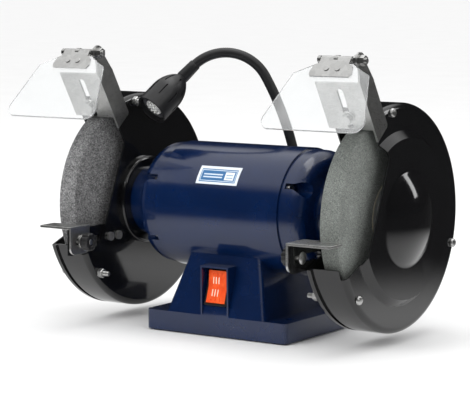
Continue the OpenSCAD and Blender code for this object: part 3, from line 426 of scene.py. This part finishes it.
def material_for(node_name):
    """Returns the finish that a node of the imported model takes."""
    if not MATERIALS:
        MATERIALS.update(make_materials())
    slot = SLOT_OF[node_name]
    return MATERIALS["cast_paint" if node_name in CASTINGS else slot]


# ---- Mesh helpers ----
def finish_piece(name, mesh, node_name, finish=None, body=None):
    """Puts a mesh in the scene as a piece that stands for a node and moves with it."""
    mesh.materials.append(finish or material_for(node_name))
    piece = bpy.data.objects.new(name, mesh)
    bpy.context.scene.collection.objects.link(piece)
    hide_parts(node_name)
    if body is not False:
        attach(piece, body or BODY_OF[node_name])
    return piece


def surface(points, wrap_rows=False, wrap_columns=True):
    """Joins a grid of points into four-sided faces.

    Face (i, j) has the corners (i, j), (i, j+1), (i+1, j+1) and (i+1, j), counted round the
    grid where it wraps. Ends that don't wrap are closed by a fan to their middle.
    """
    rows, columns = points.shape[:2]
    vertices = points.reshape(-1, 3)
    i = np.arange(rows if wrap_rows else rows - 1)[:, None]
    j = np.arange(columns if wrap_columns else columns - 1)[None, :]
    i_next, j_next = (i + 1) % rows, (j + 1) % columns
    quads = np.stack([i * columns + j, i * columns + j_next, i_next * columns + j_next,
                      i_next * columns + j], axis=-1).reshape(-1, 4)
    faces = quads.tolist()
    if wrap_columns and not wrap_rows:
        first, last = points[0].mean(axis=0), points[-1].mean(axis=0)
        vertices = np.vstack([vertices, first, last])
        ring = np.arange(columns)
        after = (ring + 1) % columns
        middle = rows * columns
        faces += np.stack([np.full(columns, middle), after, ring], axis=-1).tolist()
        end = (rows - 1) * columns
        faces += np.stack([np.full(columns, middle + 1), end + ring, end + after], axis=-1).tolist()
    return vertices, faces


def join_surfaces(parts):
    """Stacks several (vertices, faces) pairs into one pair."""
    vertices, faces, offset = [], [], 0
    for part_vertices, part_faces in parts:
        vertices.append(part_vertices)
        faces += [[index + offset for index in face] for face in part_faces]
        offset += len(part_vertices)
    return np.vstack(vertices), faces


def mesh_from(name, vertices, faces, sharp=35.0):
    """Makes a smooth-shaded mesh whose faces point outwards."""
    mesh = bpy.data.meshes.new(name)
    mesh.from_pydata(vertices.tolist(), [], faces)
    made = bmesh.new()
    made.from_mesh(mesh)
    bmesh.ops.recalc_face_normals(made, faces=made.faces)
    made.to_mesh(mesh)
    made.free()
    mesh.polygons.foreach_set("use_smooth", np.ones(len(mesh.polygons), dtype=bool))
    mesh.set_sharp_from_angle(angle=math.radians(sharp))
    return mesh


def turned(profile, centre, direction, segments=64, radius_scale=None):
    """Revolves a profile.

    A point at angle t on ring k is centre + along_k * direction + r_k * (cos t * side + sin t * up),
    where r_k may be multiplied by a factor for each angle.
    """
    along, radius = np.asarray(profile, float).T
    direction = np.asarray(direction, float)
    helper = np.array([0, 0, 1.0]) if abs(direction[2]) < 0.9 else np.array([1.0, 0, 0])
    side = np.cross(helper, direction)
    side /= np.linalg.norm(side)
    up = np.cross(direction, side)
    t = np.linspace(0, 2 * math.pi, segments, endpoint=False)
    factor = np.ones((len(along), segments)) if radius_scale is None else radius_scale(t, along)
    r = radius[:, None] * factor
    return (np.asarray(centre, float) + along[:, None, None] * direction
            + (r * np.cos(t))[..., None] * side + (r * np.sin(t))[..., None] * up)


def merged_copy(node_name):
    """Returns a welded copy of a node's mesh whose flat regions are single faces."""
    made = bmesh.new()
    made.from_mesh(frame["nodes"][node_name].data)
    bmesh.ops.remove_doubles(made, verts=made.verts, dist=2e-6)
    bmesh.ops.dissolve_limit(made, angle_limit=math.radians(0.3), verts=made.verts, edges=made.edges)
    mesh = bpy.data.meshes.new(node_name)
    made.to_mesh(mesh)
    made.free()
    mesh.polygons.foreach_set("use_smooth", np.ones(len(mesh.polygons), dtype=bool))
    mesh.set_sharp_from_angle(angle=math.radians(30))
    return mesh


def islands(node_name):
    """Returns the lowest and highest corners of each separate solid in a node."""
    made = bmesh.new()
    made.from_mesh(frame["nodes"][node_name].data)
    bmesh.ops.remove_doubles(made, verts=made.verts, dist=2e-6)
    found, seen = [], set()
    for start in made.verts:
        if start in seen:
            continue
        stack, group = [start], []
        seen.add(start)
        while stack:
            here = stack.pop()
            group.append(here.co[:])
            for edge in here.link_edges:
                other = edge.other_vert(here)
                if other not in seen:
                    seen.add(other)
                    stack.append(other)
        corners = np.array(group)
        found.append((corners.min(axis=0), corners.max(axis=0)))
    made.free()
    return found


# ---- Pieces ----
SOFT_EDGES = {
    "base_casting": 0.7, "end_bell_left": 0.3, "end_bell_right": 0.3, "motor_shell": 0.2,
    "guard_left_drum": 0.35, "guard_left_lid": 0.6, "guard_right_drum": 0.35,
    "guard_right_lid": 0.6, "rest_arm_left": 0.4, "rest_arm_right": 0.4, "tool_rest_left": 0.5,
    "tool_rest_right": 0.5, "shield_bracket_left": 0.35, "shield_bracket_right": 0.35,
    "shield_leaf_left": 0.25, "shield_leaf_right": 0.25, "eye_shield_left": 0.3,
    "eye_shield_right": 0.3, "lamp_bracket": 0.5, "lamp_ferrule": 0.5, "lamp_head": 0.4,
    "switch_frame": 0.4, "switch_rocker": 0.5, "rest_bolt_left": 0.4, "rest_bolt_right": 0.4,
    "bracket_clamp_bolts": 0.4, "shield_hinge_bolt_left": 0.35, "shield_hinge_bolt_right": 0.35,
    "spindle_nuts": 0.8, "outer_flanges": 0.6, "inner_flanges": 0.6, "cord_gland": 0.4,
    "rubber_feet": 0.4, "accessory_screws": 0.3, "through_bolts": 0.3,
}


class GRINDER_OT_soften(bpy.types.Operator):
    """Give the pressed, cast and turned pieces their rounded edges"""
    bl_idname = "grinder.soften"
    bl_label = "Rounded edges"

    def execute(self, context):
        """Makes the pieces."""
        for node_name, width in SOFT_EDGES.items():
            piece = finish_piece(node_name + "_finished", merged_copy(node_name), node_name)
            bevel = piece.modifiers.new("edges", "BEVEL")
            bevel.width = width * MM
            bevel.segments = 3
            bevel.limit_method = "ANGLE"
            bevel.angle_limit = math.radians(35)
            bevel.harden_normals = True
            bevel.miter_outer = "MITER_ARC"
            normals = piece.modifiers.new("normals", "WEIGHTED_NORMAL")
            normals.keep_sharp = True
        return {"FINISHED"}


class GRINDER_OT_finishes(bpy.types.Operator):
    """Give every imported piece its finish"""
    bl_idname = "grinder.finishes"
    bl_label = "Finishes"

    def execute(self, context):
        """Makes the pieces."""
        for node_name, piece in frame["nodes"].items():
            piece.data.materials.clear()
            piece.data.materials.append(material_for(node_name))
        return {"FINISHED"}


class GRINDER_OT_wheels(bpy.types.Operator):
    """Make the two abrasive wheels with dressed, gritty faces"""
    bl_idname = "grinder.wheels"
    bl_label = "Abrasive wheels"

    def execute(self, context):
        """Makes the pieces."""
        settings = looks()
        wheels = (("wheel_left", settings.coarse_grit, 3), ("wheel_right", settings.fine_grit, 4))
        for name, grit, seed in wheels:
            low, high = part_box(name)
            width, outer = high[0] - low[0], (high[2] - low[2]) / 2
            bore, chamfer, clamped_r = 8.1 * MM, 1.2 * MM, 40 * MM
            face_rings, rim_rings, bore_rings, columns = 46, 15, 6, 520
            face = np.linspace(bore, outer - chamfer, face_rings)
            rim = np.linspace(chamfer, width - chamfer, rim_rings)
            along = np.concatenate([np.zeros(face_rings), rim, np.full(face_rings, width),
                                    np.linspace(width, 0, bore_rings + 2)[1:-1]])
            radius = np.concatenate([face, np.full(rim_rings, outer), face[::-1], np.full(bore_rings, bore)])
            rng = np.random.default_rng(seed)
            rough = rng.standard_normal((len(along), columns))
            rough = (rough + np.roll(rough, 1, 0) + np.roll(rough, 1, 1)) / 3
            points = turned(np.stack([along, radius], axis=-1), (low[0], *SPINDLE[1:]), (1, 0, 0), columns)
            inward = np.zeros_like(points)
            on_face = np.abs(radius - outer) > 1e-6
            inward[..., 0] = (np.where(along < width / 2, 1, -1) * on_face)[:, None]
            spoke = points[..., 1:] - np.array(SPINDLE[1:])
            spoke /= np.linalg.norm(spoke, axis=-1, keepdims=True)
            on_rim = (np.abs(radius - outer) < 1e-6)[:, None, None]
            inward[..., 1:] = -spoke * on_rim
            clamped = (radius < clamped_r)[:, None]
            depth = np.where(clamped, 0.0, np.clip(np.abs(rough), 0, 1.5) * grit * 0.16)
            points = points + inward * depth[..., None]
            vertices, faces = surface(points, wrap_rows=True)
            finish_piece(name + "_grit", mesh_from(name, vertices, faces, 30), name)
        return {"FINISHED"}


class GRINDER_OT_knobs(bpy.types.Operator):
    """Make the fluted clamping knobs of the tool rests"""
    bl_idname = "grinder.knobs"
    bl_label = "Clamping knobs"

    def execute(self, context):
        """Makes the pieces."""
        flutes = looks().knob_flutes
        for name, outward in (("rest_knob_left", 1), ("rest_knob_right", -1)):
            low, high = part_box(name)
            width, outer = high[0] - low[0], (high[2] - low[2]) / 2
            middle = (np.asarray(low) + np.asarray(high)) / 2
            start = np.array([low[0] if outward > 0 else high[0], middle[1], middle[2]])
            w, r = width, outer
            profile = [(0, 3.1 * MM), (0, r * 0.62), (w * 0.10, r * 0.66), (w * 0.16, r * 0.92),
                       (w * 0.22, r * 0.985), (w * 0.34, r), (w * 0.80, r), (w * 0.90, r * 0.975),
                       (w * 0.965, r * 0.92), (w, r * 0.82), (w, r * 0.52), (w * 0.93, r * 0.47),
                       (w * 0.93, 3.1 * MM)]

            def fluted(t, along):
                """One less a round dip at each flute, only on the grip."""
                grip = np.clip((along / w - 0.12) / 0.12, 0, 1)[:, None]
                dip = np.clip(np.cos(flutes * t), 0, 1) ** 1.6
                return 1 - 0.13 * dip * grip
            points = turned(profile, start, (outward, 0, 0), 192, fluted)
            vertices, faces = surface(points, wrap_rows=True)
            finish_piece(name + "_fluted", mesh_from(name, vertices, faces), name)
        return {"FINISHED"}


def arc_path(start, bends, step):
    """Follows bends of (first heading, last heading, radius) and returns points and headings."""
    points, headings = [np.array(start, float)], [math.radians(bends[0][0])]
    for first, last, radius in bends:
        first, last = math.radians(first), math.radians(last)
        count = max(2, int(radius * abs(last - first) / step))
        t = np.linspace(first, last, count + 1)[1:]
        here = points[-1]
        centre = here + radius * np.array([math.sin(first), -math.cos(first)])
        points += list(centre + radius * np.stack([-np.sin(t), np.cos(t)], axis=-1))
        headings += list(t)
    return np.array(points), np.array(headings)


class GRINDER_OT_gooseneck(bpy.types.Operator):
    """Make the ribbed flexible neck of the lamp as one tube bent along two arcs, and the sleeve at its end"""
    bl_idname = "grinder.gooseneck"
    bl_label = "Gooseneck"

    def execute(self, context):
        """Makes the pieces."""
        settings = looks()
        flex = JOINTS["lamp_flex"]
        normal = np.array(flex["axis"])
        heading = np.cross(np.array([0, 0, 1.0]), normal)
        root = Vector(JOINTS["lamp_swivel"]["pos_m"])
        radius = 5.0 * MM
        start = (0.0, 148.6 * MM)
        bends = [(82, 61.9, 300 * MM), (61.9, -45, 46 * MM)]
        flat, angle = arc_path(start, bends, settings.coil_pitch / 6)
        middle = np.array([root.x, root.y, 0]) + flat[:, :1] * heading + flat[:, 1:] * np.array([0, 0, 1.0])
        sideways = -np.sin(angle)[:, None] * heading + np.cos(angle)[:, None] * np.array([0, 0, 1.0])
        length = np.concatenate([[0], np.cumsum(np.linalg.norm(np.diff(flat, axis=0), axis=1))])
        rib = np.abs(np.sin(math.pi * length / settings.coil_pitch)) ** 0.6
        r = radius + 0.1 * MM - settings.coil_depth * (1 - rib)
        t = np.linspace(0, 2 * math.pi, 40, endpoint=False)
        points = (middle[:, None, :] + (r[:, None] * np.cos(t))[..., None] * sideways[:, None, :]
                  + (r[:, None] * np.sin(t))[..., None] * normal)
        vertices, faces = surface(points)
        piece = finish_piece("gooseneck_ribbed", mesh_from("gooseneck", vertices, faces, 80),
                             "gooseneck_lower", body=False)
        flex_heading = math.radians(bends[0][1])
        along = np.array([math.cos(flex_heading), math.sin(flex_heading)])
        way = along[0] * heading + along[1] * np.array([0, 0, 1.0])
        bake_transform(piece)
        end, last = middle[-1], math.radians(bends[1][1])
        way = math.cos(last) * heading + math.sin(last) * np.array([0, 0, 1.0])
        profile = [(-3 * MM, 5.2 * MM), (-3 * MM, 5.5 * MM), (-2.4 * MM, 5.9 * MM), (2 * MM, 6.0 * MM),
                   (14 * MM, 6.5 * MM), (16.2 * MM, 6.5 * MM), (16.9 * MM, 6.2 * MM), (17 * MM, 4 * MM)]
        vertices, faces = surface(turned(profile, end, way, 64))
        finish_piece("gooseneck_sleeve", mesh_from("sleeve", vertices, faces), "gooseneck_upper")
        return {"FINISHED"}


class GRINDER_OT_lamp_face(bpy.types.Operator):
    """Make the lamp's dark reflector plate and its cluster of domed diodes"""
    bl_idname = "grinder.lamp_face"
    bl_label = "Lamp face"

    def execute(self, context):
        """Makes the pieces."""
        joint = np.array(JOINTS["lamp_head_tilt"]["pos_m"])
        corners = np.array([vertex.co[:] for vertex in frame["nodes"]["lamp_lens"].data.vertices])
        direction = (corners.min(axis=0) + corners.max(axis=0)) / 2 - joint
        direction /= np.linalg.norm(direction)
        along = (corners - joint) @ direction
        spread = corners - joint - along[:, None] * direction
        back, front, radius = along.min(), along.max(), np.linalg.norm(spread, axis=1).max()
        plate = front - 1.7 * MM
        centre = joint + direction * back
        w = plate - back
        profile = [(0, radius * 0.97), (w * 0.9, radius * 0.97), (w, radius * 0.93), (w, radius * 0.8),
                   (w * 0.72, radius * 0.74), (w * 0.72, 0.05 * MM)]
        vertices, faces = surface(turned(profile, centre, direction, 72))
        finish_piece("lamp_reflector", mesh_from("reflector", vertices, faces), "lamp_lens",
                     finish=MATERIALS["reflector"])
        side = np.cross(direction, (0, 0, 1.0))
        side /= np.linalg.norm(side)
        up = np.cross(side, direction)
        ring_step = 3.8 * MM
        dome = [(0, 1.45), (1.6, 1.45), (2.2, 1.28), (2.6, 0.95), (2.85, 0.5), (2.92, 0.06)]
        profile = [(a * MM, b * MM) for a, b in dome]
        parts = []
        for ring in range(3):
            for i in range(max(1, 6 * ring)):
                turn = math.radians(60 * i / max(1, ring))
                outward = math.cos(turn) * side + math.sin(turn) * up
                spot = centre + direction * (w * 0.7) + ring * ring_step * outward
                parts.append(surface(turned(profile, spot, direction, 24)))
        vertices, faces = join_surfaces(parts)
        finish_piece("lamp_diodes", mesh_from("diodes", vertices, faces), "lamp_lens")
        return {"FINISHED"}


class GRINDER_OT_long_screws(bpy.types.Operator):
    """Make the long guard screws with pan heads and cut threads, and their nuts"""
    bl_idname = "grinder.long_screws"
    bl_label = "Long guard screws"

    def execute(self, context):
        """Makes the pieces."""
        pitch = looks().thread_pitch
        parts = []
        for low, high in islands("guard_long_screws"):
            centre = (low + high) / 2
            outward = 1 if centre[0] > 0 else -1
            far = high[0] if outward > 0 else low[0]
            head_r = (high[2] - low[2]) / 2
            head = [(-3.4, 0.52), (-3.3, 0.97), (-3.0, 1.0), (-2.0, 1.0), (-1.1, 0.94),
                    (-0.45, 0.78), (0, 0.45)]
            profile = [(a * MM, b * head_r) for a, b in head]
            parts.append(surface(turned(profile, (far, centre[1], centre[2]), (outward, 0, 0), 48)))
            length = high[0] - low[0] - 3.4 * MM
            shank_start = far - outward * 3.35 * MM
            turns = 24
            plain = length - 17 * MM
            cut_part = np.arange(plain + 0.1 * MM, length - 0.5 * MM, pitch / 6)
            s = np.concatenate([[0, plain], cut_part, [length]])
            r = np.full(len(s), 2.48 * MM)

            def threaded(t, along):
                """A triangular tooth of the turn and the place along, past the plain length."""
                phase = (along[:, None] / pitch - t[None, :] / (2 * math.pi)) % 1.0
                tooth = np.abs(phase - 0.5) * 2
                cut = (along > plain)[:, None]
                tip = np.where(along >= length - 0.3 * MM, 0.8, 1.0)[:, None]
                return np.where(cut, 1 - 0.13 * tooth, 1.0) * tip
            parts.append(surface(turned(np.stack([s, r], axis=-1), (shank_start, centre[1], centre[2]),
                                        (-outward, 0, 0), turns, threaded)))
        vertices, faces = join_surfaces(parts)
        finish_piece("guard_long_screws_threaded", mesh_from("screws", vertices, faces), "guard_long_screws")
        parts = []
        for low, high in islands("guard_long_nuts"):
            centre = (low + high) / 2
            flat = 4.25 * MM

            def hexagon(t, along):
                """The distance to a hexagon's side, as a share of its least distance."""
                turn = (t + math.pi / 6) % (math.pi / 3) - math.pi / 6
                side = 1 / np.cos(turn)
                return np.broadcast_to(side, (len(along), len(t)))
            w = high[0] - low[0]
            profile = np.array([(0, 2.55 * MM), (0, flat * 0.92), (w * 0.12, flat), (w * 0.88, flat),
                                (w, flat * 0.92), (w, 2.55 * MM)])
            points = turned(profile, (low[0], centre[1], centre[2]), (1, 0, 0), 72, hexagon)
            parts.append(surface(points, wrap_rows=True))
        vertices, faces = join_surfaces(parts)
        finish_piece("guard_long_nuts_chamfered", mesh_from("nuts", vertices, faces, 25), "guard_long_nuts")
        return {"FINISHED"}


# ---- Stage ----
class GRINDER_OT_stage(bpy.types.Operator):
    """Set the floor, the light and the camera"""
    bl_idname = "grinder.stage"
    bl_label = "Floor, light and camera"

    def execute(self, context):
        """Makes the pieces."""
        settings = looks()
        scene = context.scene
        made, tree, shader, place = start_material("pale floor")
        pale = ramp(tree, noise(tree, place, 9.0, 3.0), (0.3, 0.88), (0.7, 0.90))
        # Painted reflection: mirror-like surfaces see the floor darker, 0.75 near the middle and near black
        # past the table's edge, while the camera sees it evenly pale.
        reach = node(tree, "ShaderNodeVectorMath", {0: place}, operation="LENGTH").outputs["Value"]
        reflected_floor_shade = node(tree, "ShaderNodeMapRange", {
            "Value": reach, "From Min": settings.table_radius * 0.4, "From Max": settings.table_radius * 1.4,
            "To Min": 0.75, "To Max": 0.02}, interpolation_type="SMOOTHERSTEP").outputs["Result"]
        shown = node(tree, "ShaderNodeMix", {0: mirrored(tree), 6: pale, 7: reflected_floor_shade},
                     data_type="RGBA").outputs[2]
        tree.links.new(shown, shader.inputs["Base Color"])
        set_values(shader, Roughness=0.8, Specular_IOR_Level=0.0)
        half = 16.0
        mesh = bpy.data.meshes.new("floor")
        mesh.from_pydata([(-half, -half, 0), (half, -half, 0), (half, half, 0), (-half, half, 0)],
                         [], [(0, 1, 2, 3)])
        mesh.materials.append(made)
        floor = bpy.data.objects.new("floor", mesh)
        scene.collection.objects.link(floor)

        world = bpy.data.worlds.new("studio")
        world.use_nodes = True
        tree = world.node_tree
        place = tree.nodes.new("ShaderNodeTexCoord").outputs["Generated"]
        height = node(tree, "ShaderNodeSeparateXYZ", {"Vector": place}).outputs["Z"]
        studio = ramp(tree, height, (0.48, 0.012), (0.66, settings.ceiling))
        seen = node(tree, "ShaderNodeMix", {0: mirrored(tree), 6: (1, 1, 1, 1), 7: studio},
                    data_type="RGBA").outputs[2]
        background = tree.nodes["Background"]
        tree.links.new(seen, background.inputs["Color"])
        background.inputs["Strength"].default_value = settings.sky
        scene.world = world
        scene.view_settings.view_transform = "Standard"
        for name, place, size, power in (
                ("key", (-0.7, -1.8, 1.3), (1.0, 1.0), 16.0),
                ("fill", (1.9, -0.5, 0.9), (0.25, 1.2), 4.0),
                ("strip", (1.3, 1.6, 1.1), (0.3, 1.3), 5.0),
                ("top", (0.1, 0.3, 1.9), (1.6, 0.7), 8.0)):
            light = bpy.data.lights.new(name, "AREA")
            light.shape = "RECTANGLE"
            light.size, light.size_y = size
            light.energy = power
            lamp = bpy.data.objects.new(name, light)
            lamp.location = place
            lamp.visible_glossy = name != "key"
            lamp.rotation_euler = (Vector((0, 0, 0.12)) - Vector(place)).to_track_quat("-Z", "Y").to_euler()
            scene.collection.objects.link(lamp)

        turn, rise, roll = settings.camera_turn, settings.camera_rise, settings.camera_roll
        back = Vector((math.sin(turn) * math.cos(rise), -math.cos(turn) * math.cos(rise), math.sin(rise)))
        right = Vector((math.cos(turn), math.sin(turn), 0))
        up = back.cross(right)
        right_rolled = right * math.cos(roll) + up * math.sin(roll)
        up_rolled = up * math.cos(roll) - right * math.sin(roll)
        target = Vector((-0.0192, 0, 0.1205))
        camera_data = bpy.data.cameras.new("camera")
        camera_data.lens = settings.camera_lens
        camera_data.sensor_width = 36.0
        camera_data.clip_end = 60
        camera = bpy.data.objects.new("camera", camera_data)
        turn_matrix = Matrix((right_rolled, up_rolled, back)).transposed().to_4x4()
        camera.matrix_world = Matrix.Translation(target + back * settings.camera_distance) @ turn_matrix
        scene.collection.objects.link(camera)
        scene.camera = camera
        return {"FINISHED"}


class GRINDER_PT_panel(bpy.types.Panel):
    """Lists the settings and the steps."""
    bl_label = "Bench grinder"
    bl_idname = "GRINDER_PT_panel"
    bl_space_type = "VIEW_3D"
    bl_region_type = "UI"
    bl_category = "Grinder"

    def draw(self, context):
        """Draws the settings and the buttons."""
        column = self.layout.column()
        for key in GrinderLooks.__annotations__:
            column.prop(context.scene.grinder_looks, key)
        for operator in OPERATORS:
            column.operator(operator.bl_idname)


OPERATORS = (GRINDER_OT_stage, GRINDER_OT_finishes, GRINDER_OT_soften, GRINDER_OT_wheels,
             GRINDER_OT_knobs, GRINDER_OT_gooseneck, GRINDER_OT_lamp_face, GRINDER_OT_long_screws)
CLASSES = (GrinderLooks, *OPERATORS, GRINDER_PT_panel)


def register():
    """Registers the classes and puts the settings on the scene."""
    for item in CLASSES:
        bpy.utils.register_class(item)
    bpy.types.Scene.grinder_looks = PointerProperty(type=GrinderLooks)


def unregister():
    """Takes the settings and the classes away again."""
    del bpy.types.Scene.grinder_looks
    for item in reversed(CLASSES):
        bpy.utils.unregister_class(item)


def main():
    """Registers the add-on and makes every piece."""
    register()
    for operator in OPERATORS:
        group, action = operator.bl_idname.split(".")
        getattr(getattr(bpy.ops, group), action)()


if __name__ == "__main__":
    main()
